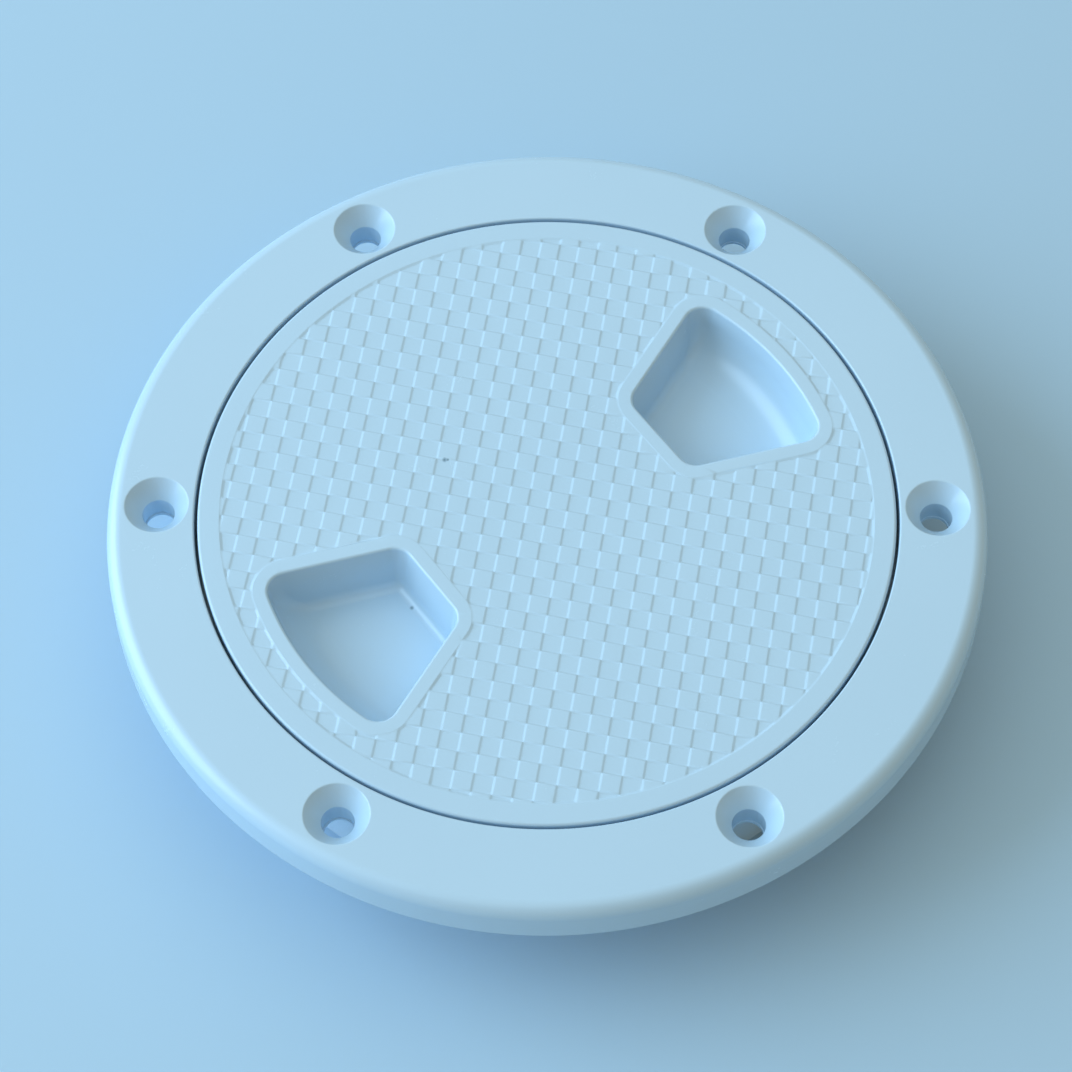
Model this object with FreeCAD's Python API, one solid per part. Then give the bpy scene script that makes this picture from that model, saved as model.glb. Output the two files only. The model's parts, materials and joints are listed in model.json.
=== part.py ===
import FreeCAD, Part
import math
import os
from FreeCAD import Vector

# Deck inspection plate: a ring that is screwed to the deck, a lid that screws into it and a rubber seal.
# Millimetres. The deck's surface is the plane z = 0, +Z points up out of the deck, the origin is on the
# plate's axis, and X runs through the middle of both finger pockets.

# Thread between collar and lid: one coarse right-hand ridge on each
clear_opening = 102.0
thread_pitch = 4.0
thread_depth = 1.6
thread_root_width = 2.2
thread_crest_width = 1.2
frame_thread_turns = 2.0
lid_thread_turns = 1.5
thread_radial_clearance = 0.3
thread_flank_clearance = 0.3
thread_below_seat = 1.4
thread_above_skirt_edge = 0.7

# Ring, from the opening outwards
collar_wall = 3.9
collar_depth = 19.0
collar_lead_chamfer = 0.8
flange_height = 7.5
flange_top_wall = 2.6
flange_side_wall = 2.4
flange_edge_radius = 3.5
recess_wall = 2.6
rib_count_between_screws = 2
rib_thickness = 1.6
rib_setback = 0.8

# Deck screws
screw_count = 6
screw_turn = -37.4
recess_to_screw = 5.95
screw_to_rim = 8.2
screw_hole_diameter = 5.2
countersink_diameter = 10.2
countersink_depth = 3.1
screw_boss_wall = 2.0

# Seal: a flat rubber ring round the lid's neck, pressed between lid and seat
seal_height = 2.2
seal_width = 2.8
seal_neck_clearance = 0.1

# Lid
lid_gap = 0.65
lid_plate = 3.0
lid_edge_chamfer = 0.6
lid_rim_overhang = 0.5
skirt_wall = 2.2
skirt_depth = 8.0
skirt_lead_chamfer = 0.5
neck_depth = 3.3

# Finger pockets: 45 degree sectors with drafted walls, and a closed cup under each
pocket_count = 2
pocket_sector = 45.0
pocket_side_inset = 1.3
pocket_inner_distance = 22.6
pocket_outer_wall = 1.9
pocket_depth = 9.5
pocket_draft = 9.0
pocket_corner_radius = 3.2
pocket_floor_radius = 1.5
pocket_rim_chamfer = 0.4
cup_wall = 2.0
cup_floor = 2.0

# Non-slip top: square islands like the dark squares of a chessboard, on a sunk floor
checker_pitch = 3.18
checker_depth = 0.16
checker_wall_run = 0.25
checker_joint = 0.05
checker_turn = -46.4
checker_shift_along = 0.2
checker_shift_across = -0.35
checker_border = 3.7
pocket_border = 2.5

# Overlap of shapes that are fused, overshoot of shapes that cut, the small start below the sunk floor of
# the squares that are left out of its cut, and how exactly an edge or face is looked for by its height
bite = 0.4
square_start = 0.01
closeness = 1e-4

# Radii and heights that follow from the sizes above
bore_radius = clear_opening / 2 + thread_depth
skirt_radius = clear_opening / 2 - thread_radial_clearance
lid_crest_radius = bore_radius - thread_radial_clearance
skirt_inner_radius = skirt_radius - skirt_wall
seal_inner_radius = lid_crest_radius + seal_neck_clearance
seal_outer_radius = seal_inner_radius + seal_width
lid_radius = seal_outer_radius + lid_rim_overhang
recess_radius = lid_radius + lid_gap
collar_radius = bore_radius + collar_wall
recess_wall_radius = recess_radius + recess_wall
screw_circle_radius = recess_radius + recess_to_screw
flange_radius = screw_circle_radius + screw_to_rim
flange_inner_radius = flange_radius - flange_side_wall
pocket_outer_radius = skirt_inner_radius - pocket_outer_wall
checker_radius = lid_radius - checker_border
pocket_turns = [i * 360 / pocket_count for i in range(pocket_count)]

top = flange_height
lid_underside = top - lid_plate
seat_height = lid_underside - seal_height
flange_ceiling = top - flange_top_wall
collar_bottom = -collar_depth
skirt_bottom = -skirt_depth
neck_bottom = lid_underside - neck_depth
frame_thread_top = seat_height - thread_below_seat - thread_root_width / 2
frame_thread_bottom = frame_thread_top - frame_thread_turns * thread_pitch
lid_thread_bottom = skirt_bottom + thread_above_skirt_edge + thread_root_width / 2


def revolved(edges):
    """Turn a closed outline in the XZ half plane into a solid round the Z axis."""
    face = Part.Face(Part.Wire(edges))
    return face.revolve(Vector(0, 0, 0), Vector(0, 0, 1), 360)


def outline(points):
    """Straight edges through (radius, height) points, open at the end."""
    corners = [Vector(radius, 0, height) for radius, height in points]
    return [Part.makeLine(start, end) for start, end in zip(corners, corners[1:])]


def quarter_round(centre_radius, centre_height, radius):
    """A convex quarter arc from the upright side to the flat top of an edge."""
    slant = radius * math.sqrt(0.5)
    start = Vector(centre_radius + radius, 0, centre_height)
    middle = Vector(centre_radius + slant, 0, centre_height + slant)
    end = Vector(centre_radius, 0, centre_height + radius)
    return Part.Arc(start, middle, end).toShape()


def upright_cylinder(radius, bottom, height, x=0.0, y=0.0):
    return Part.makeCylinder(radius, height, Vector(x, y, bottom), Vector(0, 0, 1))


def turned(shape, degrees):
    """A copy of a shape, turned about the plate's axis."""
    copy = shape.copy()
    copy.rotate(Vector(0, 0, 0), Vector(0, 0, 1), degrees)
    return copy


def thread_ridge(root_radius, crest_radius, bottom, turns):
    """One right-hand helical ridge; its foot bites into the wall behind its root."""
    outwards = 1 if crest_radius > root_radius else -1
    flare = (thread_root_width - thread_crest_width) / 2 / abs(crest_radius - root_radius)
    foot_radius = root_radius - outwards * bite
    foot_half = thread_root_width / 2 + flare * bite
    crest_half = thread_crest_width / 2
    corners = [
        Vector(foot_radius, 0, bottom - foot_half),
        Vector(crest_radius, 0, bottom - crest_half),
        Vector(crest_radius, 0, bottom + crest_half),
        Vector(foot_radius, 0, bottom + foot_half),
    ]
    section = Part.makePolygon(corners + corners[:1])
    path = Part.makeHelix(thread_pitch, turns * thread_pitch, root_radius)
    path.translate(Vector(0, 0, bottom))
    return Part.Wire(path.Edges).makePipeShell([section], True, True)


def sloped_block(lower, upper):
    """A solid with flat sides between two outlines that have the same number of corners."""
    faces = [Part.Face(Part.makePolygon(loop + loop[:1])) for loop in (lower, upper)]
    count = len(lower)
    for i in range(count):
        j = (i + 1) % count
        side = [lower[i], lower[j], upper[j], upper[i], lower[i]]
        faces.append(Part.Face(Part.makePolygon(side)))
    return Part.makeSolid(Part.makeShell(faces))


def arc_between(start, middle, end):
    return Part.Arc(start, middle, end).toShape()


def sector_outline(grow, outer_radius, height):
    """A finger pocket's outline, grown outwards by a distance: two corners near the axis, two on an arc."""
    half = math.radians(pocket_sector / 2)
    along = Vector(math.cos(half), math.sin(half), 0)
    out = Vector(-math.sin(half), math.cos(half), 0)
    side = grow - pocket_side_inset
    inner = pocket_inner_distance - grow
    corner = pocket_corner_radius + grow
    near_x = inner + corner
    near = Vector(near_x, (side - corner + near_x * math.sin(half)) / math.cos(half), 0)
    far = along * math.sqrt((outer_radius - corner) ** 2 - (side - corner) ** 2) + out * (side - corner)
    to_rim = Vector(far).normalize()
    near_middle = (out - Vector(1, 0, 0)).normalize()
    far_middle = (out + to_rim).normalize()
    upper = [
        near - Vector(corner, 0, 0),
        near + near_middle * corner,
        near + out * corner,
        far + out * corner,
        far + far_middle * corner,
        far + to_rim * corner,
    ]
    lift = Vector(0, 0, height)
    lower = [Vector(point.x, -point.y, 0) + lift for point in upper]
    upper = [point + lift for point in upper]
    return Part.Wire([
        Part.makeLine(lower[0], upper[0]),
        arc_between(upper[0], upper[1], upper[2]),
        Part.makeLine(upper[2], upper[3]),
        arc_between(upper[3], upper[4], upper[5]),
        arc_between(upper[5], Vector(outer_radius, 0, height), lower[5]),
        arc_between(lower[5], lower[4], lower[3]),
        Part.makeLine(lower[3], lower[2]),
        arc_between(lower[2], lower[1], lower[0]),
    ])


def sector_block(low, high):
    """A solid between two outlines of a sector, each given as growth, outer radius and height."""
    return Part.makeLoft([sector_outline(*low), sector_outline(*high)], True, True)


def edges_at(shape, height):
    """The edges of a shape that lie in one level plane."""
    return [
        edge
        for edge in shape.Edges
        if abs(edge.BoundBox.ZMin - height) < closeness and abs(edge.BoundBox.ZMax - height) < closeness
    ]


def screw_places():
    """Angle and centre of each deck screw."""
    for i in range(screw_count):
        angle = screw_turn + i * 360 / screw_count
        turn = math.radians(angle)
        yield angle, screw_circle_radius * math.cos(turn), screw_circle_radius * math.sin(turn)


def make_frame():
    """The ring: flange with a hollow underside, recess and seat for the lid, threaded collar."""
    round_height = top - flange_edge_radius
    before_round = outline([
        (collar_radius - collar_lead_chamfer, collar_bottom),
        (bore_radius, collar_bottom),
        (bore_radius, seat_height),
        (recess_radius, seat_height),
        (recess_radius, top),
        (flange_radius - flange_edge_radius, top),
    ])
    after_round = outline([
        (flange_radius, round_height),
        (flange_radius, 0),
        (flange_inner_radius, 0),
        (flange_inner_radius, flange_ceiling),
        (recess_wall_radius, flange_ceiling),
        (recess_wall_radius, 0),
        (collar_radius, 0),
        (collar_radius, collar_bottom + collar_lead_chamfer),
        (collar_radius - collar_lead_chamfer, collar_bottom),
    ])
    edge = quarter_round(flange_radius - flange_edge_radius, round_height, flange_edge_radius)
    ring = revolved(before_round + [edge] + after_round)

    hole_radius = screw_hole_diameter / 2
    countersink_slope = (countersink_diameter / 2 - hole_radius) / countersink_depth
    added = []
    cutters = []
    rib_length = flange_inner_radius - recess_wall_radius + 2 * bite
    rib_height = flange_ceiling - rib_setback + bite
    rib = Part.makeBox(rib_length, rib_thickness, rib_height)
    rib.translate(Vector(recess_wall_radius - bite, -rib_thickness / 2, rib_setback))
    rib_step = 360 / screw_count / (rib_count_between_screws + 1)
    for angle, x, y in screw_places():
        added.append(upright_cylinder(hole_radius + screw_boss_wall, 0, flange_ceiling + bite, x, y))
        added.extend(turned(rib, angle + i * rib_step) for i in range(1, rib_count_between_screws + 1))
        cutters.append(upright_cylinder(hole_radius, -bite, top + 2 * bite, x, y))
        cutters.append(Part.makeCone(hole_radius, countersink_diameter / 2 + bite * countersink_slope,
                                     countersink_depth + bite, Vector(x, y, top - countersink_depth)))
    added.append(thread_ridge(bore_radius, clear_opening / 2, frame_thread_bottom, frame_thread_turns))
    return ring.fuse(added).cut(cutters)


def sector_clearance(x, y, grow):
    """How far a point lies outside a finger pocket's sector that was grown by a distance."""
    half = math.radians(pocket_sector / 2)
    past_inner = pocket_inner_distance - grow - x
    past_side = abs(y) * math.cos(half) - x * math.sin(half) + pocket_side_inset - grow
    past_outer = math.hypot(x, y) - pocket_outer_radius - grow
    return max(past_inner, past_side, past_outer)


def square(centre_x, centre_y, half, height):
    """Corners of one square of the non-slip grid."""
    turn = math.radians(checker_turn)
    corners = []
    for u, v in ((-half, -half), (half, -half), (half, half), (-half, half)):
        x = centre_x + u * math.cos(turn) - v * math.sin(turn)
        y = centre_y + u * math.sin(turn) + v * math.cos(turn)
        corners.append(Vector(x, y, height))
    return corners


def island_centres():
    """Centres of the grid's high squares: those that stand free, and those that meet a border."""
    reach = int(checker_radius / checker_pitch) + 2
    half_diagonal = checker_pitch * math.sqrt(0.5)
    turn = math.radians(checker_turn)
    free = []
    bordering = []
    for i in range(-reach, reach):
        for j in range(-reach, reach):
            if (i + j) % 2:
                continue
            along = checker_shift_along + (i + 0.5) * checker_pitch
            across = checker_shift_across + (j + 0.5) * checker_pitch
            x = along * math.cos(turn) - across * math.sin(turn)
            y = along * math.sin(turn) + across * math.cos(turn)
            inside = checker_radius - math.hypot(x, y)
            for pocket_turn in pocket_turns:
                a = -math.radians(pocket_turn)
                local_x = x * math.cos(a) - y * math.sin(a)
                local_y = x * math.sin(a) + y * math.cos(a)
                inside = min(inside, sector_clearance(local_x, local_y, pocket_border))
            if inside > half_diagonal:
                free.append((x, y))
            elif inside > -half_diagonal:
                bordering.append((x, y))
    return free, bordering


def checker_recess(bordering):
    """The sunk floor's space inside its border, without the high squares that grow out of the border."""
    slope = checker_wall_run / checker_depth
    floor = top - checker_depth
    height = checker_depth + bite
    space = upright_cylinder(checker_radius, floor, height)
    edge = sector_block((pocket_border, pocket_outer_radius + pocket_border, floor),
                        (pocket_border, pocket_outer_radius + pocket_border, floor + height))
    half = (checker_pitch - checker_joint) / 2
    tools = [turned(edge, angle) for angle in pocket_turns]
    for x, y in bordering:
        lower = square(x, y, half + square_start * slope, floor - square_start)
        upper = square(x, y, half - checker_wall_run - bite * slope, floor + height)
        tools.append(sloped_block(lower, upper))
    return space.cut(tools)


def raise_islands(body, centres):
    """Grow the free islands out of the sunk floor's face: a hole in the floor, four walls and a top each."""
    floor_height = top - checker_depth
    floors = [face for face in body.Faces if abs(face.BoundBox.ZMax - floor_height) < closeness
              and face.BoundBox.ZLength < closeness]
    half = (checker_pitch - checker_joint) / 2
    floor = max(floors, key=lambda face: face.Area)
    faces = [face for face in body.Faces if not face.isSame(floor)]
    holes = []
    for x, y in centres:
        foot = square(x, y, half, floor_height)
        crown = square(x, y, half - checker_wall_run, top)
        holes.append(Part.makePolygon(foot[::-1] + foot[-1:]))
        faces.append(Part.Face(Part.makePolygon(crown + crown[:1])))
        for i in range(4):
            j = (i + 1) % 4
            faces.append(Part.Face(Part.makePolygon([foot[i], foot[j], crown[j], crown[i], foot[i]])))
    floor.cutHoles(holes)
    skin = Part.makeCompound(faces + [floor])
    skin.sewShape()
    return Part.makeSolid(skin.Shells[0])


def make_lid():
    """The screw-in lid: checkered top, two finger pockets with cups below, threaded skirt."""
    disc = revolved(outline([
        (0, top),
        (0, lid_underside),
        (skirt_inner_radius, lid_underside),
        (skirt_inner_radius, skirt_bottom),
        (skirt_radius - skirt_lead_chamfer, skirt_bottom),
        (skirt_radius, skirt_bottom + skirt_lead_chamfer),
        (skirt_radius, neck_bottom),
        (lid_crest_radius, neck_bottom),
        (lid_crest_radius, lid_underside),
        (lid_radius, lid_underside),
        (lid_radius, top - lid_edge_chamfer),
        (lid_radius - lid_edge_chamfer, top),
        (0, top),
    ]))

    pocket_floor = top - pocket_depth
    draft = math.tan(math.radians(pocket_draft))
    run = pocket_depth * draft
    pocket = sector_block((-run, pocket_outer_radius - run, pocket_floor), (0, pocket_outer_radius, top))
    pocket = pocket.makeFillet(pocket_floor_radius, edges_at(pocket, pocket_floor))
    cup_reach = skirt_inner_radius + bite
    cup_top = lid_underside + bite
    cup_bottom = pocket_floor - cup_floor
    cup = sector_block((cup_wall - (top - cup_bottom) * draft, cup_reach, cup_bottom),
                       (cup_wall - (top - cup_top) * draft, cup_reach, cup_top))
    ridge_drop = (thread_root_width + thread_crest_width) / 2 + thread_flank_clearance
    ridge_turns = (lid_thread_bottom + ridge_drop - frame_thread_bottom) / thread_pitch
    ridge = thread_ridge(skirt_radius, lid_crest_radius, lid_thread_bottom, lid_thread_turns)
    ridge = turned(ridge, 360 * ridge_turns)

    body = disc.fuse([turned(cup, angle) for angle in pocket_turns] + [ridge])
    body = body.cut([turned(pocket, angle) for angle in pocket_turns])
    rims = [edge for edge in edges_at(body, top) if edge.BoundBox.DiagonalLength < lid_radius]
    body = body.makeChamfer(pocket_rim_chamfer, rims)
    free, bordering = island_centres()
    return raise_islands(body.cut(checker_recess(bordering)), free)


def make_seal():
    """The rubber ring under the lid's rim."""
    ring = upright_cylinder(seal_outer_radius, seat_height, seal_height)
    return ring.cut(upright_cylinder(seal_inner_radius, seat_height - bite, seal_height + 2 * bite))


os.makedirs("parts", exist_ok=True)
for name, shape in (("frame", make_frame()), ("lid", make_lid()), ("seal_ring", make_seal())):
    shape.exportStep("parts/" + name + ".step")
    print(name, "valid", shape.isValid(), "solids", len(shape.Solids), "volume", round(shape.Volume, 1))
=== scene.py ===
import json
import math

import bmesh
import bpy
from mathutils import Matrix, Vector
from mathutils.geometry import delaunay_2d_cdt


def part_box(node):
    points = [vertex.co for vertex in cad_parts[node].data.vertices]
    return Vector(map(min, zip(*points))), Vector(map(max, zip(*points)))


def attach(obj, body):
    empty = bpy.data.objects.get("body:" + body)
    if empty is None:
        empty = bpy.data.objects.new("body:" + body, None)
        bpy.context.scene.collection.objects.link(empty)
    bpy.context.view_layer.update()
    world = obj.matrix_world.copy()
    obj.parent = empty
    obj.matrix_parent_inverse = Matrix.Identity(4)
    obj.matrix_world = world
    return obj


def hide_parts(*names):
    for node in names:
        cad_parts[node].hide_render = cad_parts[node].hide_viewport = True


# The looks of a deck inspection plate: a screwed-down ring, a screw-in lid with a checkered top and two
# finger pockets, and a rubber seal. Mesh code is in millimetres; each finished piece is scaled to metres.

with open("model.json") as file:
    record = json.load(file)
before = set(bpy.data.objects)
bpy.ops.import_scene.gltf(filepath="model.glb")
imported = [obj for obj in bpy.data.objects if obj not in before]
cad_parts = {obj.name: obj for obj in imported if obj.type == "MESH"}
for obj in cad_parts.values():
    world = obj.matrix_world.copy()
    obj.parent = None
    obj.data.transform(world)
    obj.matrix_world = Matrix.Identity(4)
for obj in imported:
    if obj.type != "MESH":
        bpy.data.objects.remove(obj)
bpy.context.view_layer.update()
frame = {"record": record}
millimetre = 0.001


def corners_of(node):
    """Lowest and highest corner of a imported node, in millimetres."""
    return [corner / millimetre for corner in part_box(node)]


frame_low, frame_high = corners_of("frame")
lid_low, lid_high = corners_of("lid")
seal_low, seal_high = corners_of("seal_ring")
mounts = {mount["name"]: mount for mount in frame["record"]["mounts"]}
screw_pattern = mounts["screw_holes"]["dims"]

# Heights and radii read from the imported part
top = frame_high.z
collar_bottom = frame_low.z
flange_radius = frame_high.x
lid_radius = lid_high.x
skirt_bottom = lid_low.z
lid_underside = seal_high.z
seat_height = seal_low.z
seal_radius = seal_high.x
collar_radius = mounts["collar"]["dims"]["r_mm"]
screw_circle_radius = screw_pattern["pcd_mm"] / 2
screw_hole_radius = screw_pattern["hole_r_mm"]
screw_count = screw_pattern["count"]

# Ring
lid_gap = 0.5
recess_wall = 2.6
flange_top_wall = 2.6
flange_side_wall = 2.4
flange_round = 2.5
flange_side_lean = 0.3
hollow_round = 0.8
collar_lead = 0.8
screw_turn = math.radians(-37.4)
countersink_radius = 5.1
countersink_depth = 3.1
boss_wall = 2.0
rib_thickness = 1.6
rib_setback = 0.8
ribs_between_screws = 2

# Thread
opening_radius = 51.0
thread_pitch = 4.0
thread_depth = 1.6
thread_root_width = 2.2
thread_crest_width = 1.2
thread_clearance = 0.3
thread_run_out_turns = 0.04
thread_end_size = 0.08
frame_thread_turns = 2.0
lid_thread_turns = 1.5
frame_thread_bottom = -8.2
lid_thread_bottom = -6.2

# Lid
skirt_wall = 2.2
skirt_lead = 0.5
neck_depth = 3.3
lid_edge_round = 0.5

# Finger pockets, and the cups that close them below
pocket_turns = (0.0, math.pi)
pocket_half_sector = math.radians(22.5)
pocket_side_inset = 1.3
pocket_inner_distance = 22.6
pocket_outer_wall = 1.9
pocket_depth = 9.5
pocket_draft = math.radians(9.0)
pocket_corner = 3.2
pocket_rim_round = 0.5
pocket_floor_round = 1.8
pocket_outer_floor_round = 7.0
cup_wall = 2.0
cup_floor = 2.0
cup_round = 1.2

# Non-slip top
checker_pitch = 3.18
checker_depth = 0.215
square_sunk = 0.035
wall_run = 0.56
checker_turn = math.radians(-46.4)
checker_shift = (0.2, -0.35)
checker_border = 3.7
pocket_border = 2.5

# How far the non-slip pattern lies below the top, by distance outwards from the edge of the flat border and
# from the edge of a high square's flat top
border_profile = (
    (0.0, 0.0), (0.07, 0.008), (0.16, square_sunk), (0.47, 0.199), (wall_run, checker_depth))
square_profile = (
    (0.0, square_sunk), (0.09, 0.051), (0.28, 0.126), (0.47, 0.199), (wall_run, checker_depth))

# Seal
seal_width = 2.8
seal_round = 0.4

# Rounds of plain edges and of leads, and how far joined shapes reach into each other
small_round = 0.3
lead_round = 0.2
bite = 0.4

# How finely round shapes are divided
ring_segments = 384
hole_segments = 96
boss_segments = 64
thread_steps_per_turn = 96
edge_steps = 6
pocket_foot_steps = 14
near_corner_steps = 10
far_corner_steps = 14
pocket_rim_steps = 40
arc_tolerance = 0.006

# Points closer than this are one point, with a little more allowed at the lid's seams, and the margin by
# which faces and edges are picked by their place
merge_distance = 0.001
seam_distance = 0.0012
edge_margin = 0.01

# Edges that turn by more than this are shaded sharp, and how far large faces lead in the shading
crease_angle = math.radians(38)
relief_crease_angle = math.radians(26)
even_shading_weight = 90

# What follows from the values above
bore_radius = opening_radius + thread_depth
recess_radius = lid_radius + lid_gap
recess_wall_radius = recess_radius + recess_wall
flange_inner_radius = flange_radius - flange_side_wall
flange_ceiling = top - flange_top_wall
skirt_radius = opening_radius - thread_clearance
skirt_inner_radius = skirt_radius - skirt_wall
lid_crest_radius = bore_radius - thread_clearance
neck_bottom = lid_underside - neck_depth
flat_top_radius = lid_radius - lid_edge_round
pocket_outer_radius = skirt_inner_radius - pocket_outer_wall
pocket_floor = top - pocket_depth
pocket_sweep = math.pi / 2 - pocket_draft
pocket_rim_grow = pocket_rim_round * math.tan(pocket_sweep / 2)
checker_radius = lid_radius - checker_border
crown_half = (checker_pitch - wall_run) / 2


def rounded_outline(corners):
    """Points of a closed outline from corners given as radius, height and rounding."""
    points = []
    for i, (x, z, rounding) in enumerate(corners):
        corner = Vector((x, z))
        if rounding <= 0:
            points.append(corner)
            continue
        before = (Vector(corners[i - 1][:2]) - corner).normalized()
        after = (Vector(corners[(i + 1) % len(corners)][:2]) - corner).normalized()
        turn = math.pi - before.angle(after)
        reach = rounding * math.tan(turn / 2)
        middle = (before + after).normalized()
        centre = corner + middle * (rounding / math.cos(turn / 2))
        start = corner + before * reach - centre
        end = corner + after * reach - centre
        step = 2 * math.acos(1 - arc_tolerance / rounding)
        pieces = max(2, math.ceil(turn / step))
        for k in range(pieces + 1):
            share = k / pieces
            spoke = start * math.sin((1 - share) * turn) + end * math.sin(share * turn)
            points.append(centre + spoke / math.sin(turn))
    return points


def circle(radius, segments=ring_segments, height=0.0):
    angles = (2 * math.pi / segments * i for i in range(segments))
    return [Vector((radius * math.cos(angle), radius * math.sin(angle), height)) for angle in angles]


def turned(outline, segments=ring_segments):
    """Loops of points of an outline, given as radius and height, that is turned about the axis."""
    return [circle(point.x, segments, point.y) for point in outline]


def bridge(mesh, lower, upper):
    """Quads between two closed loops of vertices of the same length."""
    count = len(lower)
    for i in range(count):
        j = (i + 1) % count
        mesh.faces.new((lower[i], lower[j], upper[j], upper[i]))


def skin(mesh, loops):
    """An open skin through loops of points; gives its rows of vertices."""
    rows = [[mesh.verts.new(point) for point in loop] for loop in loops]
    for lower, upper in zip(rows, rows[1:]):
        bridge(mesh, lower, upper)
    return rows


def tidy(mesh, distance=merge_distance):
    """Merge doubled points and turn all faces outwards."""
    bmesh.ops.remove_doubles(mesh, verts=mesh.verts, dist=distance)
    bmesh.ops.recalc_face_normals(mesh, faces=mesh.faces)


def object_from(mesh, name):
    data = bpy.data.meshes.new(name)
    mesh.to_mesh(data)
    mesh.free()
    piece = bpy.data.objects.new(name, data)
    bpy.context.scene.collection.objects.link(piece)
    return piece


def plug_from(loops, name):
    """A closed solid through loops of points, flat at both ends."""
    mesh = bmesh.new()
    rows = skin(mesh, loops)
    mesh.faces.new(rows[0])
    mesh.faces.new(rows[-1])
    tidy(mesh)
    return object_from(mesh, name)


def ring_from(loops, name):
    """A closed ring through loops of points, whose last loop joins the first."""
    mesh = bmesh.new()
    rows = skin(mesh, loops)
    bridge(mesh, rows[-1], rows[0])
    tidy(mesh)
    return object_from(mesh, name)


def baked(piece):
    """Apply everything live on an object, so that a plain mesh is left."""
    graph = bpy.context.evaluated_depsgraph_get()
    data = bpy.data.meshes.new_from_object(piece.evaluated_get(graph))
    piece.modifiers.clear()
    piece.data = data
    return piece


def combined(piece, tool, operation):
    """Fuse or cut one closed mesh with another, which is used up."""
    step = piece.modifiers.new("combine", "BOOLEAN")
    step.solver = "EXACT"
    step.operation = operation
    step.object = tool
    baked(piece)
    bpy.data.objects.remove(tool)
    return piece


def feed(tree, socket, value):
    """Link another socket to a socket, or set its plain value."""
    if isinstance(value, bpy.types.NodeSocket):
        tree.links.new(value, socket)
    else:
        socket.default_value = value


def wired(tree, kind, inputs, settings):
    """A new node of a tree: its settings first, then the values or links of its sockets."""
    node = tree.nodes.new(kind)
    for name, value in settings.items():
        setattr(node, name, value)
    for name, value in inputs.items():
        feed(tree, node.inputs[name], value)
    return node


class Tree:
    """A Geometry Nodes tree with named inputs, run once on an empty mesh or on a mesh of points."""

    def __init__(self, name):
        self.group = bpy.data.node_groups.new(name, "GeometryNodeTree")
        for side in ("INPUT", "OUTPUT"):
            self.group.interface.new_socket(
                name="Geometry", in_out=side, socket_type="NodeSocketGeometry")
        self.entry = self.group.nodes.new("NodeGroupInput")

    def input(self, name, kind="Float"):
        self.group.interface.new_socket(name=name, in_out="INPUT", socket_type="NodeSocket" + kind)
        return self.entry.outputs[name]

    def points(self):
        return self.entry.outputs["Geometry"]

    def node(self, kind, inputs=None, output=0, **settings):
        """One output of any node, by the node's kind, its inputs and its settings."""
        return wired(self.group, kind, inputs or {}, settings).outputs[output]

    def math(self, operation, a, b):
        return self.node("ShaderNodeMath", {0: a, 1: b}, operation=operation)

    def point(self, x, y):
        return self.node("ShaderNodeCombineXYZ", {"X": x, "Y": y})

    def upright(self, z):
        return self.node("ShaderNodeCombineXYZ", {"Z": z})

    def shape_of(self, item):
        return self.node("GeometryNodeObjectInfo", {"Object": item}, "Geometry")

    def finish(self, geometry):
        """Make instances real and give the result its material."""
        material = self.input("Material", "Material")
        real = self.node("GeometryNodeRealizeInstances", {"Geometry": geometry})
        done = self.node("GeometryNodeSetMaterial", {"Geometry": real, "Material": material})
        wired(self.group, "NodeGroupOutput", {"Geometry": done}, {})

    def run(self, name, points=(), **values):
        """The tree's result for these input values, as a plain mesh object."""
        mesh = bmesh.new()
        for point in points:
            mesh.verts.new(point)
        piece = object_from(mesh, name)
        step = piece.modifiers.new(name, "NODES")
        step.node_group = self.group
        for item in self.group.interface.items_tree:
            if item.in_out == "INPUT" and item.name in values:
                step[item.identifier] = values[item.name]
        return baked(piece)


def ring_pattern():
    """Copies of a shape round the axis, with every so manieth left out."""
    tree = Tree("ring pattern")
    shape = tree.input("Shape", "Object")
    count = tree.input("Count", "Int")
    radius = tree.input("Radius")
    first = tree.input("First_Angle")
    left_out = tree.input("Left_Out_Every", "Int")
    ring = tree.node("GeometryNodeMeshCircle", {"Vertices": count, "Radius": radius})
    index = tree.node("GeometryNodeInputIndex")
    angle = tree.math("MULTIPLY", index, tree.math("DIVIDE", 2 * math.pi, count))
    kept = tree.math("MODULO", tree.math("ADD", index, 1.0), left_out)
    copies = tree.node("GeometryNodeInstanceOnPoints", {
        "Points": ring, "Selection": kept, "Instance": tree.shape_of(shape),
        "Rotation": tree.upright(angle)})
    tree.finish(tree.node("GeometryNodeTransform", {"Geometry": copies, "Rotation": tree.upright(first)}))
    return tree


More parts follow.
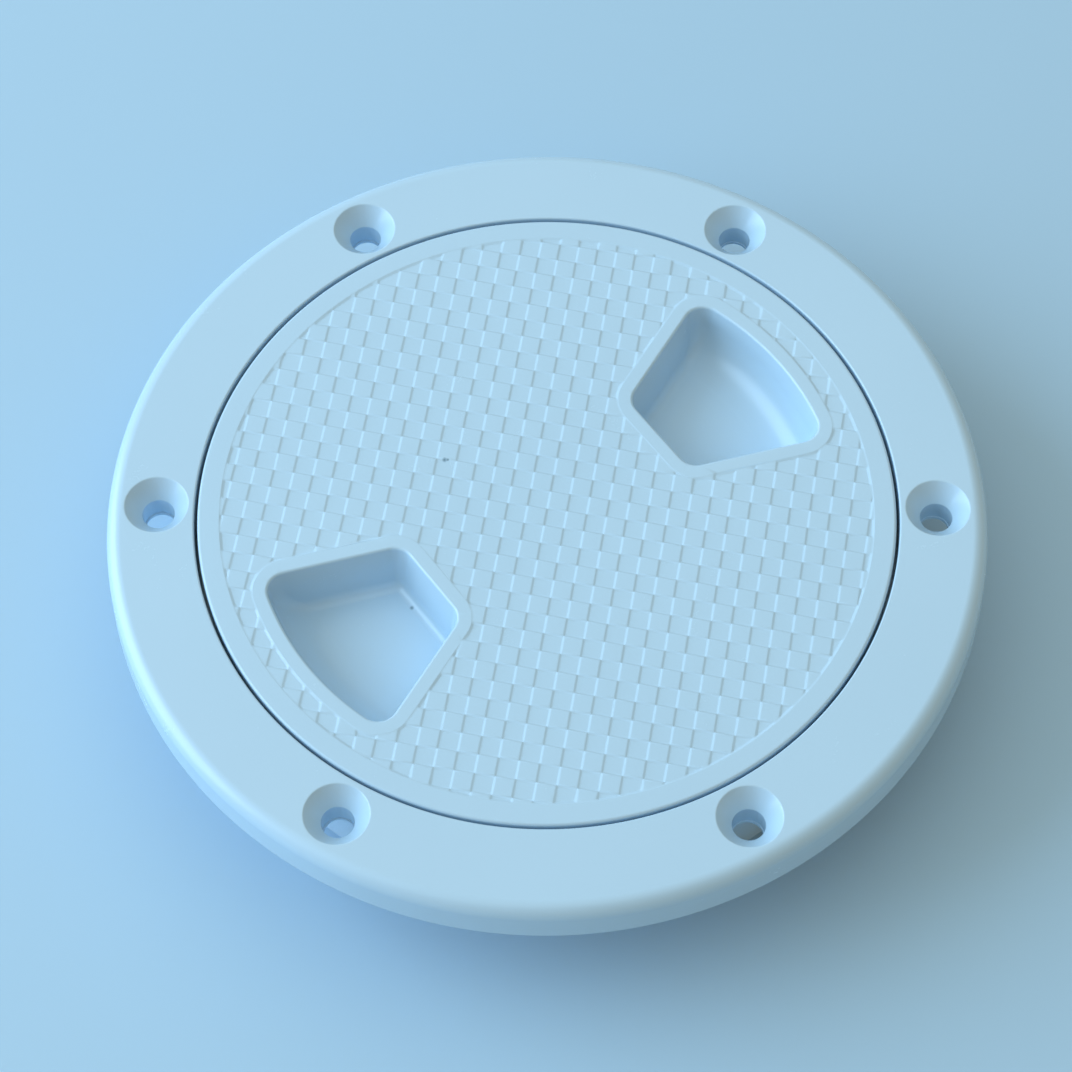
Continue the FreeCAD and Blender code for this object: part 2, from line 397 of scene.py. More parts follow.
def thread_ridge():
    """One right-hand helical ridge whose ends run out into the wall that carries it."""
    tree = Tree("thread ridge")
    radius = tree.input("Foot_Radius")
    pitch = tree.input("Pitch")
    turns = tree.input("Turns")
    bottom = tree.input("Bottom")
    first = tree.input("First_Angle")
    depth = tree.input("Depth")
    foot = tree.input("Foot_Width")
    crest = tree.input("Crest_Width")
    run_out = tree.input("Run_Out_Turns")
    end_size = tree.input("End_Size")
    spiral = tree.node("GeometryNodeCurveSpiral", {
        "Resolution": thread_steps_per_turn, "Rotations": turns, "Start Radius": radius,
        "End Radius": radius, "Height": tree.math("MULTIPLY", turns, pitch), "Reverse": True})
    placed = tree.node("GeometryNodeTransform", {
        "Geometry": spiral, "Translation": tree.upright(bottom), "Rotation": tree.upright(first)})
    steady = tree.node("GeometryNodeSetCurveNormal", {"Curve": placed}, mode="Z_UP")
    place = tree.node("GeometryNodeSplineParameter", output="Factor")
    from_end = tree.math("MINIMUM", place, tree.math("SUBTRACT", 1.0, place))
    rise = tree.math("DIVIDE", tree.math("MULTIPLY", from_end, turns), run_out)
    size = tree.math("MINIMUM", 1.0, tree.math("MAXIMUM", end_size, rise))
    section = tree.node("GeometryNodeCurvePrimitiveQuadrilateral", {
        "Point 1": tree.point(0.0, tree.math("MULTIPLY", foot, -0.5)),
        "Point 2": tree.point(depth, tree.math("MULTIPLY", crest, -0.5)),
        "Point 3": tree.point(depth, tree.math("MULTIPLY", crest, 0.5)),
        "Point 4": tree.point(0.0, tree.math("MULTIPLY", foot, 0.5)),
    }, mode="POINTS")
    tree.finish(tree.node("GeometryNodeCurveToMesh", {
        "Curve": steady, "Profile Curve": section, "Scale": size, "Fill Caps": True}))
    return tree


def square_field():
    """Copies of one raised square at every point, all turned the same way."""
    tree = Tree("square field")
    square = tree.input("Square", "Object")
    turn = tree.input("Turn")
    tree.finish(tree.node("GeometryNodeInstanceOnPoints", {
        "Points": tree.points(), "Instance": tree.shape_of(square), "Rotation": tree.upright(turn)}))
    return tree


def mark_creases(data):
    """Sharp edges by their angle; the low relief of the non-slip pattern keeps gentler ones too."""
    mesh = bmesh.new()
    mesh.from_mesh(data)
    floor = (top - checker_depth - edge_margin) * millimetre
    field = (checker_radius + wall_run) * millimetre
    for edge in mesh.edges:
        relief = all(v.co.z > floor and math.hypot(v.co.x, v.co.y) < field for v in edge.verts)
        edge.smooth = edge.calc_face_angle(0.0) < (relief_crease_angle if relief else crease_angle)
    mesh.to_mesh(data)
    mesh.free()


def finished(piece, name, material, slot, body, *nodes):
    """Scale to metres, shade smoothly with crisp edges, and hand the piece to its body."""
    piece.name = name
    piece.data.name = name
    piece.data.transform(Matrix.Scale(millimetre, 4))
    piece.data.shade_smooth()
    mark_creases(piece.data)
    step = piece.modifiers.new("even shading", "WEIGHTED_NORMAL")
    step.keep_sharp = True
    step.weight = even_shading_weight
    baked(piece)
    piece.data.materials.clear()
    piece.data.materials.append(material)
    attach(piece, body)
    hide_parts(*nodes)


def countersunk_hole():
    """The tool that cuts a screw hole: rounded lip, cone, straight hole, and a thin flash at its end."""
    lip = 0.35
    flash = 0.18
    flash_height = 0.5
    flash_step = 0.05
    over = 1.0
    tilt = math.atan((countersink_radius - screw_hole_radius) / countersink_depth)
    reach = lip * math.tan((math.pi / 2 - tilt) / 2)
    centre = Vector((countersink_radius + reach, top - lip))
    outline = [
        Vector((screw_hole_radius - flash, -over)),
        Vector((screw_hole_radius - flash, flash_height)),
        Vector((screw_hole_radius, flash_height + flash_step)),
        Vector((screw_hole_radius, top - countersink_depth)),
    ]
    for k in range(edge_steps + 1):
        angle = tilt + (math.pi / 2 - tilt) * k / edge_steps
        outline.append(centre + lip * Vector((-math.cos(angle), math.sin(angle))))
    outline.append(Vector((countersink_radius + reach, top + over)))
    return plug_from(turned(outline, hole_segments), "screw hole tool")


def boss():
    """One screw boss, standing on the axis, with a small lead at its foot."""
    setback = 0.02
    lead = 0.3
    radius = screw_hole_radius + boss_wall
    outline = [
        Vector((radius - lead, setback)),
        Vector((radius, setback + lead)),
        Vector((radius, flange_ceiling + bite)),
    ]
    return plug_from(turned(outline, boss_segments), "screw boss")


def rib():
    """One stiffening rib under the flange, lying along the first axis."""
    length = flange_inner_radius - recess_wall_radius + 2 * bite
    low, high = rib_setback, flange_ceiling + bite
    mesh = bmesh.new()
    bmesh.ops.create_cube(mesh, size=1.0)
    mesh.transform(Matrix.Diagonal((length, rib_thickness, high - low, 1.0)))
    mesh.transform(Matrix.Translation((0, 0, (low + high) / 2)))
    tidy(mesh)
    return object_from(mesh, "rib")


def ring_copies(tree, shape, count, radius, first, left_out_every=None):
    """Copies of a shape round the axis, as one mesh; the shape itself is used up."""
    result = tree.run(
        "copies", Shape=shape, Count=count, Radius=radius, First_Angle=first,
        Left_Out_Every=left_out_every or count + 1)
    bpy.data.objects.remove(shape)
    return result


def ridge_on(tree, name, wall_radius, direction, bottom, turns, first):
    """A thread ridge on a wall; direction is 1 outwards and -1 inwards."""
    flare = (thread_root_width - thread_crest_width) / 2 / thread_depth
    return tree.run(
        name, Foot_Radius=wall_radius - direction * bite, Pitch=thread_pitch, Turns=turns, Bottom=bottom,
        First_Angle=first, Depth=direction * (thread_depth + bite),
        Foot_Width=thread_root_width + 2 * flare * bite, Crest_Width=thread_crest_width,
        Run_Out_Turns=thread_run_out_turns, End_Size=thread_end_size)


def make_ring(pattern, ridge):
    """The screwed-down ring."""
    ring = ring_from(turned(rounded_outline([
        (collar_radius - collar_lead, collar_bottom, lead_round),
        (bore_radius, collar_bottom, small_round),
        (bore_radius, seat_height, small_round),
        (recess_radius, seat_height, small_round),
        (recess_radius, top, small_round),
        (flange_radius - flange_side_lean, top, flange_round),
        (flange_radius, 0, small_round),
        (flange_inner_radius, 0, small_round),
        (flange_inner_radius, flange_ceiling, hollow_round),
        (recess_wall_radius, flange_ceiling, hollow_round),
        (recess_wall_radius, 0, small_round),
        (collar_radius, 0, small_round),
        (collar_radius, collar_bottom + collar_lead, lead_round),
    ])), "ring")
    every = ribs_between_screws + 1
    places = screw_count * every
    first_rib = screw_turn + 2 * math.pi / places
    rib_radius = (flange_inner_radius + recess_wall_radius) / 2
    bosses = ring_copies(pattern, boss(), screw_count, screw_circle_radius, screw_turn)
    ribs = ring_copies(pattern, rib(), places, rib_radius, first_rib, every)
    holes = ring_copies(pattern, countersunk_hole(), screw_count, screw_circle_radius, screw_turn)
    thread = ridge_on(ridge, "collar thread", bore_radius, -1, frame_thread_bottom, frame_thread_turns, 0.0)
    for addition in (bosses, ribs, thread):
        combined(ring, addition, "UNION")
    return combined(ring, holes, "DIFFERENCE")


def pocket_corners(grow, outer_radius):
    """Middles of the near and far corner arcs on one side of a grown pocket outline, and their radius."""
    sine, cosine = math.sin(pocket_half_sector), math.cos(pocket_half_sector)
    radius = pocket_corner + grow
    inset = pocket_side_inset + pocket_corner
    near_x = pocket_inner_distance + pocket_corner
    reach = math.sqrt((outer_radius - radius) ** 2 - inset ** 2)
    near = near_x, (near_x * sine - inset) / cosine
    far = reach * cosine + inset * sine, reach * sine - inset * cosine
    return near, far, radius


def sector_loop(grow, outer_radius, height, turn=0.0):
    """A finger pocket's outline, grown outwards by a distance, as a loop of points."""
    near, far, corner = pocket_corners(grow, outer_radius)
    out_angle = math.pi / 2 + pocket_half_sector
    rim_angle = math.atan2(far[1], far[0])

    def arc(middle, radius, start, end, steps):
        angles = (start + (end - start) * k / steps for k in range(steps + 1))
        return [(middle[0] + radius * math.cos(a), middle[1] + radius * math.sin(a)) for a in angles]

    upper = arc(near, corner, math.pi, out_angle, near_corner_steps)
    upper += arc(far, corner, out_angle, rim_angle, far_corner_steps)
    rim = arc((0, 0), outer_radius, rim_angle, -rim_angle, pocket_rim_steps)
    lower = [(x, -y) for x, y in reversed(upper)]
    c, s = math.cos(turn), math.sin(turn)
    return [Vector((x * c - y * s, x * s + y * c, height)) for x, y in upper + rim[1:-1] + lower]


def foot_grow(height, rounding):
    """How far a drafted wall with a rounded foot stands out from its sharp foot, by height."""
    if height >= rounding * (1 - math.cos(pocket_sweep)):
        return height * math.tan(pocket_draft)
    return rounding * math.sin(math.acos(1 - height / rounding)) - rounding * math.tan(pocket_sweep / 2)


def pocket_loops(turn):
    """Loops of a pocket's wall, from the round of its rim down to its flat floor."""
    loops = []
    for k in range(edge_steps + 1):
        angle = pocket_sweep * k / edge_steps
        grow = pocket_rim_grow - pocket_rim_round * math.sin(angle)
        height = top - pocket_rim_round + pocket_rim_round * math.cos(angle)
        loops.append(sector_loop(grow, pocket_outer_radius + grow, height, turn))
    foot = -pocket_depth * math.tan(pocket_draft)
    for k in range(pocket_foot_steps + 1):
        height = pocket_outer_floor_round * (1 - math.cos(pocket_sweep * (1 - k / pocket_foot_steps)))
        side = foot + foot_grow(height, pocket_floor_round)
        outer = foot + foot_grow(height, pocket_outer_floor_round)
        loops.append(sector_loop(side, pocket_outer_radius + outer, pocket_floor + height, turn))
    return loops


def cup():
    """The closed shell of one cup below its pocket, standing in the lid's plate and skirt."""
    bottom = pocket_floor - cup_floor
    upper = lid_underside + bite

    def wall_grow(z):
        return cup_wall - (top - z) * math.tan(pocket_draft)

    levels = []
    for k in reversed(range(edge_steps + 1)):
        angle = math.pi / 2 * k / edge_steps
        z = bottom + cup_round * (1 - math.sin(angle))
        levels.append((wall_grow(z) - cup_round * (1 - math.cos(angle)), z))
    levels.append((wall_grow(upper), upper))
    return plug_from([sector_loop(grow, skirt_inner_radius + bite, z) for grow, z in levels], "cup")


def drop_at(profile, distance):
    """How far below the top a profile lies at a distance."""
    if distance <= 0:
        return profile[0][1]
    for (start, high), (end, low) in zip(profile, profile[1:]):
        if distance <= end:
            return high + (low - high) * (distance - start) / (end - start)
    return profile[-1][1]


def quarter_turned(point, quarters):
    u, v = point
    for _ in range(quarters):
        u, v = -v, u
    return u, v


def wall_levels():
    """Reach from a square's middle, half width and height of each level of one of its walls."""
    levels = []
    for distance, drop in square_profile:
        reach = crown_half + distance
        levels.append((reach, min(reach, checker_pitch - reach), top - drop))
    return levels


def square_outline():
    """Foot of a square's walls and the lines where it meets its corner neighbours, in the grid's axes."""
    hair = 1e-9
    half_pitch = checker_pitch / 2
    lower = [(reach, half) for reach, half, _ in reversed(wall_levels()) if reach >= half_pitch - hair]
    corner = lower + [(half, reach) for reach, half in reversed(lower[:-1])]
    return [quarter_turned(point, quarters) for quarters in range(4) for point in corner]


def square_creases():
    """The straight creases of one square: levels of its walls, mitres, and lines where it meets others."""
    foot = crown_half + wall_run
    middle = (checker_pitch / 2, checker_pitch / 2)
    lines = [((reach, -half), (reach, half)) for reach, half, _ in wall_levels()]
    lines.append(((crown_half, crown_half), middle))
    lines.append((middle, (foot, crown_half)))
    lines.append((middle, (crown_half, foot)))
    return [
        (quarter_turned(start, quarters), quarter_turned(end, quarters))
        for quarters in range(4) for start, end in lines
    ]


def grid_to_plate(along, across):
    c, s = math.cos(checker_turn), math.sin(checker_turn)
    return along * c - across * s, along * s + across * c


def plate_to_grid(x, y):
    c, s = math.cos(checker_turn), math.sin(checker_turn)
    return x * c + y * s, -x * s + y * c


def cell_middle(i, j):
    """Middle of a grid cell, in the grid's axes."""
    return checker_shift[0] + (i + 0.5) * checker_pitch, checker_shift[1] + (j + 0.5) * checker_pitch


def nearest_square(x, y):
    """The grid cell of the nearest high square, and the distance outwards from that square's flat top."""
    along, across = plate_to_grid(x, y)
    i = math.floor((along - checker_shift[0]) / checker_pitch)
    j = math.floor((across - checker_shift[1]) / checker_pitch)
    middle = cell_middle(i, j)
    u, v = along - middle[0], across - middle[1]
    reach = max(abs(u), abs(v))
    if (i + j) % 2 == 0:
        return (i, j), reach - crown_half
    if abs(u) > abs(v):
        i += 1 if u > 0 else -1
    else:
        j += 1 if v > 0 else -1
    return (i, j), checker_pitch - reach - crown_half


def past_pocket_edges(x, y, grow=0.0):
    """Distances of a point past the inner edge, the side and the outer edge of a grown pocket outline."""
    x, y = abs(x), abs(y)
    past_inner = pocket_inner_distance - grow - x
    past_side = (
        y * math.cos(pocket_half_sector) - x * math.sin(pocket_half_sector) + pocket_side_inset - grow)
    past_outer = math.hypot(x, y) - pocket_outer_radius - grow
    return past_inner, past_side, past_outer


def in_pocket_band(x, y):
    """Distance outwards from the flat band round a pocket, with the band's own corner arcs."""
    x, y = abs(x), abs(y)
    grow = pocket_border - wall_run / 2
    past_inner, past_side, past_outer = past_pocket_edges(x, y, grow)
    near, far, corner = pocket_corners(grow, pocket_outer_radius + grow)
    if x < near[0] and y > near[1] and past_side > past_inner - corner:
        return math.hypot(x - near[0], y - near[1]) - corner
    if past_outer > -corner and past_side > -corner:
        beyond = (x - far[0]) * math.cos(pocket_half_sector) + (y - far[1]) * math.sin(pocket_half_sector)
        if beyond > 0 and math.atan2(y, x) > math.atan2(far[1], far[0]):
            return math.hypot(x - far[0], y - far[1]) - corner
    return max(past_inner, past_side, past_outer)


def ground_drop(x, y):
    """How far border and pocket bands alone leave a point below the top."""
    from_border = checker_radius + wall_run / 2 - math.hypot(x, y)
    return min(drop_at(border_profile, from_border), drop_at(border_profile, in_pocket_band(x, y)))


def pattern_height(x, y, cells):
    """Height of the lid's top at a point, where these cells of the grid carry squares."""
    drop = ground_drop(x, y)
    if drop > 0:
        cell, distance = nearest_square(x, y)
        if cell in cells:
            drop = min(drop, drop_at(square_profile, distance))
    return top - drop


def sort_cells():
    """Middles of the grid's high cells: those whose square stands free, and those that meet a border."""
    spare = 2
    reach = int(checker_radius / checker_pitch) + spare
    clear = math.hypot(crown_half + wall_run, crown_half) + wall_run / 2
    free, bordering = {}, {}
    for i in range(-reach, reach):
        for j in range(-reach, reach):
            if (i + j) % 2:
                continue
            x, y = grid_to_plate(*cell_middle(i, j))
            past_pocket = max(past_pocket_edges(x, y))
            inside = min(checker_radius - math.hypot(x, y), past_pocket - pocket_border)
            if inside > clear:
                free[(i, j)] = (x, y)
            elif inside > -clear:
                bordering[(i, j)] = (x, y)
    return free, bordering


def buried(point):
    """Whether a border stands about as high as a square's flat top at a point, so that it hides creases."""
    border_share = 0.7
    return ground_drop(*point) < border_share * square_sunk


def halfway(start, end):
    return (start[0] + end[0]) / 2, (start[1] + end[1]) / 2


def bared(start, end):
    """The parts of a straight crease that no border hides, as pairs of ends."""
    halvings = 12
    if buried(start):
        start, end = end, start
    if buried(start):
        middle = halfway(start, end)
        return [] if buried(middle) else bared(middle, start) + bared(middle, end)
    if buried(end):
        low = start
        for _ in range(halvings):
            middle = halfway(low, end)
            if buried(middle):
                end = middle
            else:
                low = middle
    return [(start, end)]


def inside_loop(loop, x, y):
    inside = False
    for a, b in zip(loop, loop[1:] + loop[:1]):
        if (a.y > y) != (b.y > y) and x < (b.x - a.x) * (y - a.y) / (b.y - a.y) + a.x:
            inside = not inside
    return inside


class Net:
    """A flat net of points and straight edges, to be filled with triangles."""

    def __init__(self):
        self.points = []
        self.edges = []

    def add_loop(self, loop):
        start = len(self.points)
        self.points.extend(Vector((point[0], point[1])) for point in loop)
        self.edges.extend((start + k, start + (k + 1) % len(loop)) for k in range(len(loop)))

    def add_line(self, start, end):
        self.edges.append((len(self.points), len(self.points) + 1))
        self.points.extend((Vector(start), Vector(end)))

    def filled(self):
        """Places of the net's points and the triangles between them."""
        closeness = 1e-5
        found = delaunay_2d_cdt(self.points, self.edges, [], 0, closeness)
        return found[0], found[2]


def top_sheet(mesh, free, bordering):
    """The lid's top face without its free squares: a flat net, lifted to the pattern's heights."""
    net = Net()
    net.add_loop(circle(flat_top_radius))
    for distance, _ in border_profile:
        net.add_loop(circle(checker_radius + wall_run / 2 - distance))
        for turn in pocket_turns:
            grow = pocket_border - wall_run / 2 + distance
            net.add_loop(sector_loop(grow, pocket_outer_radius + grow, 0.0, turn))
    rims = [sector_loop(pocket_rim_grow, pocket_outer_radius + pocket_rim_grow, 0.0, turn)
            for turn in pocket_turns]
    for rim in rims:
        net.add_loop(rim)

    def placed(centre, point):
        x, y = grid_to_plate(*point)
        return centre[0] + x, centre[1] + y

    outline = square_outline()
    creases = square_creases()
    for centre in free.values():
        net.add_loop([placed(centre, point) for point in outline])
    for centre in bordering.values():
        for start, end in creases:
            for line in bared(placed(centre, start), placed(centre, end)):
                net.add_line(*line)

    def left_open(x, y):
        cell, distance = nearest_square(x, y)
        if cell in free:
            return distance < wall_run
        return any(inside_loop(rim, x, y) for rim in rims)

    places, triangles = net.filled()
    cells = {**free, **bordering}
    verts = {}
    for triangle in triangles:
        x = sum(places[k].x for k in triangle) / 3
        y = sum(places[k].y for k in triangle) / 3
        if left_open(x, y):
            continue
        for k in triangle:
            if k not in verts:
                place = places[k]
                verts[k] = mesh.verts.new((place.x, place.y, pattern_height(place.x, place.y, cells)))
        mesh.faces.new([verts[k] for k in triangle])


def raised_square():
    """One free square: a flat top and four S-shaped walls that meet other squares' walls at the corners."""
    mesh = bmesh.new()
    for quarters in range(4):
        rows = []
        for reach, half, z in wall_levels():
            ends = (quarter_turned((reach, side), quarters) for side in (-half, half))
            rows.append([mesh.verts.new((u, v, z)) for u, v in ends])
        for upper, lower in zip(rows, rows[1:]):
            mesh.faces.new((upper[0], lower[0], lower[1], upper[1]))
    crown = [quarter_turned((crown_half, crown_half), quarters) for quarters in range(4)]
    mesh.faces.new([mesh.verts.new((u, v, top - square_sunk)) for u, v in crown])
    tidy(mesh)
    return object_from(mesh, "raised square")


def lid_shell(pattern, ridge):
    """The lid's plate, skirt, cups and thread, with a plain flat top."""
    middle = 1.0
    outline = rounded_outline([
        (middle, top, 0),
        (middle, lid_underside, 0),
        (skirt_inner_radius, lid_underside, small_round),
        (skirt_inner_radius, skirt_bottom, small_round),
        (skirt_radius - skirt_lead, skirt_bottom, lead_round),
        (skirt_radius, skirt_bottom + skirt_lead, lead_round),
        (skirt_radius, neck_bottom, small_round),
        (lid_crest_radius, neck_bottom, small_round),
        (lid_crest_radius, lid_underside, lead_round),
        (lid_radius, lid_underside, small_round),
        (lid_radius, top, lid_edge_round),
    ])
    # The first corner only points the last round's end inwards; one flat face closes the top
    shell = plug_from(turned(outline[1:]), "lid body")
    # A circle has at least three points, so the cups stand at every second of twice as many places
    cups = ring_copies(pattern, cup(), 2 * len(pocket_turns), 0.0, 0.0, 2)
    combined(shell, cups, "UNION")
    # The lid's ridge runs in the groove of the collar's ridge, with the thread's clearance above and below
    above = (thread_root_width + thread_crest_width) / 2 + thread_clearance
    turn = 2 * math.pi * (lid_thread_bottom + above - frame_thread_bottom) / thread_pitch
    thread = ridge_on(ridge, "lid thread", skirt_radius, 1, lid_thread_bottom, lid_thread_turns, turn)
    return combined(shell, thread, "UNION")


def on_flat_top(face):
    """Whether a face of the lid's shell is part of its plain flat top."""
    level = 0.99
    if face.normal.z <= level or face.calc_center_median().z <= top - edge_margin:
        return False
    return all(math.hypot(v.co.x, v.co.y) < flat_top_radius + edge_margin for v in face.verts)


def make_lid(pattern, ridge):
    """The screw-in lid: its shell, with the flat top exchanged for the non-slip top and the pockets."""
    lid = lid_shell(pattern, ridge)
    free, bordering = sort_cells()
    mesh = bmesh.new()
    mesh.from_mesh(lid.data)
    bmesh.ops.delete(mesh, geom=[face for face in mesh.faces if on_flat_top(face)], context="FACES")
    top_sheet(mesh, free, bordering)
    for turn in pocket_turns:
        rows = skin(mesh, pocket_loops(turn))
        mesh.faces.new(rows[-1])
    square = raised_square()
    squares = square_field().run(
        "squares", [(x, y, 0) for x, y in free.values()], Square=square, Turn=checker_turn)
    mesh.from_mesh(squares.data)
    for used in (squares, square):
        bpy.data.objects.remove(used)
    tidy(mesh, seam_distance)
    mesh.to_mesh(lid.data)
    mesh.free()
    return lid


def make_seal():
    """The rubber ring under the lid's rim."""
    inner = seal_radius - seal_width
    return ring_from(turned(rounded_outline([
        (inner, seat_height, seal_round),
        (seal_radius, seat_height, seal_round),
        (seal_radius, lid_underside, seal_round),
        (inner, lid_underside, seal_round),
    ])), "seal")


def linear(red, green, blue):
    """A display colour, 0 to 255, as the linear colour that shaders take."""
    def channel(value):
        value /= 255
        return value / 12.92 if value <= 0.04045 else ((value + 0.055) / 1.055) ** 2.4
    return channel(red), channel(green), channel(blue), 1.0


class Value:
    """One socket of a material; arithmetic on it adds Math nodes."""

    def __init__(self, shader, socket):
        self.shader = shader
        self.socket = socket

    def _math(self, operation, first, second):
        return self.shader.node("ShaderNodeMath", {0: first, 1: second}, operation=operation)

    def __add__(self, other):
        return self._math("ADD", self, other)

    def __radd__(self, other):
        return self._math("ADD", other, self)

    def __sub__(self, other):
        return self._math("SUBTRACT", self, other)

    def __rsub__(self, other):
        return self._math("SUBTRACT", other, self)

    def __mul__(self, other):
        return self._math("MULTIPLY", self, other)

    def __rmul__(self, other):
        return self._math("MULTIPLY", other, self)

    def __truediv__(self, other):
        return self._math("DIVIDE", self, other)

    def __rtruediv__(self, other):
        return self._math("DIVIDE", other, self)

    def clamped(self):
        return self._math("MINIMUM", self._math("MAXIMUM", self, 0.0), 1.0)


def bare(value):
    """The socket inside a material's value, or a plain number, colour or place as it is."""
    return value.socket if isinstance(value, Value) else value


class Shader:
    """A node material, built by expressions."""

    # The Mix node has a set of sockets for each kind of value; these are the ones for colours
    mix_share, mix_first, mix_second, mix_result = 0, 6, 7, 2

    def __init__(self, name):
        self.material = bpy.data.materials.new(name)
        self.material.use_nodes = True
        self.tree = self.material.node_tree
        self.surface = self.tree.nodes["Principled BSDF"]

    def node(self, kind, inputs=None, output=0, **settings):
        """One output of any node, by the node's kind, its inputs and its settings."""
        sockets = {name: bare(value) for name, value in (inputs or {}).items()}
        return Value(self, wired(self.tree, kind, sockets, settings).outputs[output])

    def place(self):
        """The point on the piece, in metres."""
        return self.node("ShaderNodeTexCoord", output="Object")

    def distance(self, place):
        """Distance of the point on the piece from a place, in metres."""
        ends = {0: self.place(), 1: place}
        return self.node("ShaderNodeVectorMath", ends, "Value", operation="DISTANCE")

    def noise(self, scale, detail, distortion=0.0):
        return self.node("ShaderNodeTexNoise", {
            "Vector": self.place(), "Scale": scale, "Detail": detail, "Distortion": distortion}, "Fac")

    def mix(self, share, first, second):
        colours = {self.mix_share: share, self.mix_first: first, self.mix_second: second}
        return self.node("ShaderNodeMix", colours, self.mix_result, data_type="RGBA")

    def bump(self, height, distance, strength, after=None):
        inputs = {"Height": height, "Distance": distance, "Strength": strength}
        if after is not None:
            inputs["Normal"] = after
        return self.node("ShaderNodeBump", inputs, "Normal")

    def finish(self, **values):
        """Give the surface its values, and hand over the material."""
        for name, value in values.items():
            feed(self.tree, self.surface.inputs[name.replace("_", " ")], bare(value))
        return self.material


def white_plastic(name, specks=()):
    """Satin white moulded plastic with faint flow marks and a fine moulded grain."""
    speck_strength = 1.25
    speck_colour = linear(112, 142, 160)
    shader = Shader(name)
    cloud = shader.noise(scale=28.0, detail=3.0)
    grain = shader.noise(scale=2600.0, detail=2.0)
    flow = shader.noise(scale=90.0, detail=4.0, distortion=1.5)
    colour = shader.mix(cloud, linear(183, 212, 233), linear(189, 218, 239))
    for place, reach in specks:
        mark = (speck_strength - speck_strength * shader.distance(place) / reach).clamped()
        colour = shader.mix(mark, colour, speck_colour)
    ripple = shader.bump(flow, distance=0.00006, strength=0.25)
    surface = shader.bump(grain, distance=0.00002, strength=0.35, after=ripple)
    return shader.finish(
        Base_Color=colour, Roughness=0.2 + 0.07 * flow + 0.04 * grain, Normal=surface, IOR=1.55)


# Small dark moulding specks of the lid: place on the piece and reach, in metres
lid_specks = (
    ((-0.00786, 0.01685, 0.00742), 0.0005),
    ((-0.00744, 0.01655, 0.00742), 0.0003),
    ((-0.0252, 0.00236, -0.002), 0.00045),
)


def black_rubber():
    """Matt rubber with a dusty bloom and a moulded grain."""
    shader = Shader("seal rubber")
    bloom = shader.noise(scale=160.0, detail=4.0)
    grain = shader.noise(scale=1800.0, detail=2.0)
    colour = shader.mix(bloom, linear(24, 25, 27), linear(46, 48, 50))
    surface = shader.bump(grain, distance=0.00005, strength=0.5)
    return shader.finish(Base_Color=colour, Roughness=0.62 + 0.2 * grain, Normal=surface)


def pale_table():
    """The plain pale blue surface that the plate stands on."""
    shader = Shader("pale table")
    cloud = shader.noise(scale=2.2, detail=3.0)
    grain = shader.noise(scale=900.0, detail=2.0)
    colour = shader.mix(cloud, linear(171, 203, 226), linear(177, 209, 232))
    return shader.finish(Base_Color=colour, Roughness=0.55 + 0.1 * grain)


# Camera: the view's turn about the axis, its height angle and roll, the lens, and where the middle of the
# flange's top lies from the lens, in millimetres to the right, down and ahead
view_turn = math.radians(35.68)
view_elevation = math.radians(60.136)
view_roll = math.radians(-1.23)
lens_length = 103.56
sensor_width = 36.0
plate_from_lens = (1.66, -4.76, 491.46)


def photo_axes():
    """Right and away as the photograph sees them, level with the deck."""
    right = Vector((math.cos(view_turn), -math.sin(view_turn), 0))
    away = Vector((math.sin(view_turn), math.cos(view_turn), 0))
    return right, away


def add_camera():
    level_right, away = photo_axes()
    up = Vector((0, 0, 1))
    ahead = away * math.cos(view_elevation) - up * math.sin(view_elevation)
    level_down = -away * math.sin(view_elevation) - up * math.cos(view_elevation)
    right = level_right * math.cos(view_roll) - level_down * math.sin(view_roll)
    down = level_right * math.sin(view_roll) + level_down * math.cos(view_roll)
    offset = right * plate_from_lens[0] + down * plate_from_lens[1] + ahead * plate_from_lens[2]
    place = (up * top - offset) * millimetre
    data = bpy.data.cameras.new("camera")
    data.lens = lens_length
    data.sensor_width = sensor_width
    camera = bpy.data.objects.new("camera", data)
    camera.matrix_world = Matrix((
        (right.x, -down.x, -ahead.x, place.x),
        (right.y, -down.y, -ahead.y, place.y),
        (right.z, -down.z, -ahead.z, place.z),
        (0, 0, 0, 1),
    ))
    bpy.context.scene.collection.objects.link(camera)
    bpy.context.scene.camera = camera


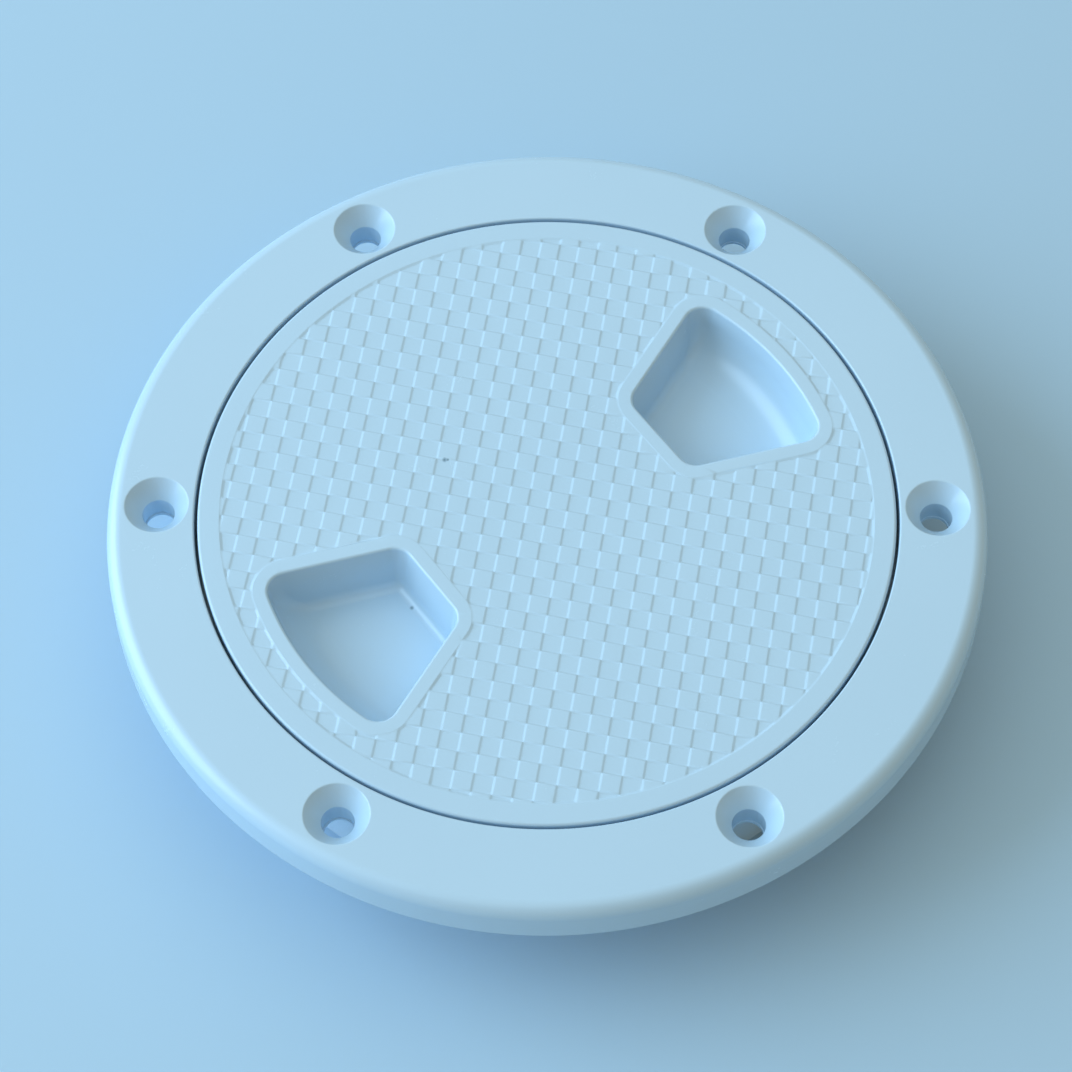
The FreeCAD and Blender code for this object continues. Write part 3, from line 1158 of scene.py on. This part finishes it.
def add_light(name, bearing, height, distance, size, power, colour):
    """A large soft lamp that looks at the plate, with its bearing turned from the photograph's left to the
    far side, both angles in degrees, and its distance and size in metres."""
    right, away = photo_axes()
    bearing, height = math.radians(bearing), math.radians(height)
    level = -right * math.cos(bearing) + away * math.sin(bearing)
    direction = level * math.cos(height) + Vector((0, 0, math.sin(height)))
    data = bpy.data.lights.new(name, "AREA")
    data.shape = "DISK"
    data.size = size
    data.energy = power
    data.color = colour
    lamp = bpy.data.objects.new(name, data)
    aim = direction.to_track_quat("Z", "Y").to_matrix().to_4x4()
    lamp.matrix_world = Matrix.Translation(direction * distance) @ aim
    bpy.context.scene.collection.objects.link(lamp)


def add_surroundings():
    """A plain pale table, cool soft light from the left and from above, and a dim warm fill."""
    table_half = 3.0
    table_squares = 8
    mesh = bmesh.new()
    bmesh.ops.create_grid(mesh, x_segments=table_squares, y_segments=table_squares, size=table_half)
    mesh.transform(Matrix.Translation((0, 0, collar_bottom * millimetre)))
    table = object_from(mesh, "table")
    table.data.materials.append(pale_table())
    add_light(
        "window", bearing=6.5, height=21.0, distance=1.3, size=1.5, power=22.3, colour=(0.534, 0.761, 1.0))
    add_light(
        "sky", bearing=30.0, height=65.0, distance=1.6, size=4.0, power=26.3, colour=(0.591, 0.849, 1.0))
    world = bpy.data.worlds.new("room")
    world.use_nodes = True
    background = world.node_tree.nodes["Background"]
    background.inputs["Color"].default_value = (1.0, 0.882, 0.62, 1.0)
    background.inputs["Strength"].default_value = 0.397
    bpy.context.scene.world = world


bpy.context.scene.view_settings.view_transform = "Standard"
add_camera()
add_surroundings()
pattern_tree = ring_pattern()
ridge_tree = thread_ridge()
ring_material = white_plastic("ring plastic")
lid_material = white_plastic("lid plastic", lid_specks)
ring = make_ring(pattern_tree, ridge_tree)
lid = make_lid(pattern_tree, ridge_tree)
finished(ring, "flange_ring", ring_material, "frame_plastic", "frame", "frame")
finished(lid, "checkered_lid", lid_material, "lid_plastic", "lid", "lid")
finished(make_seal(), "rubber_seal", black_rubber(), "seal_rubber", "seal", "seal_ring")
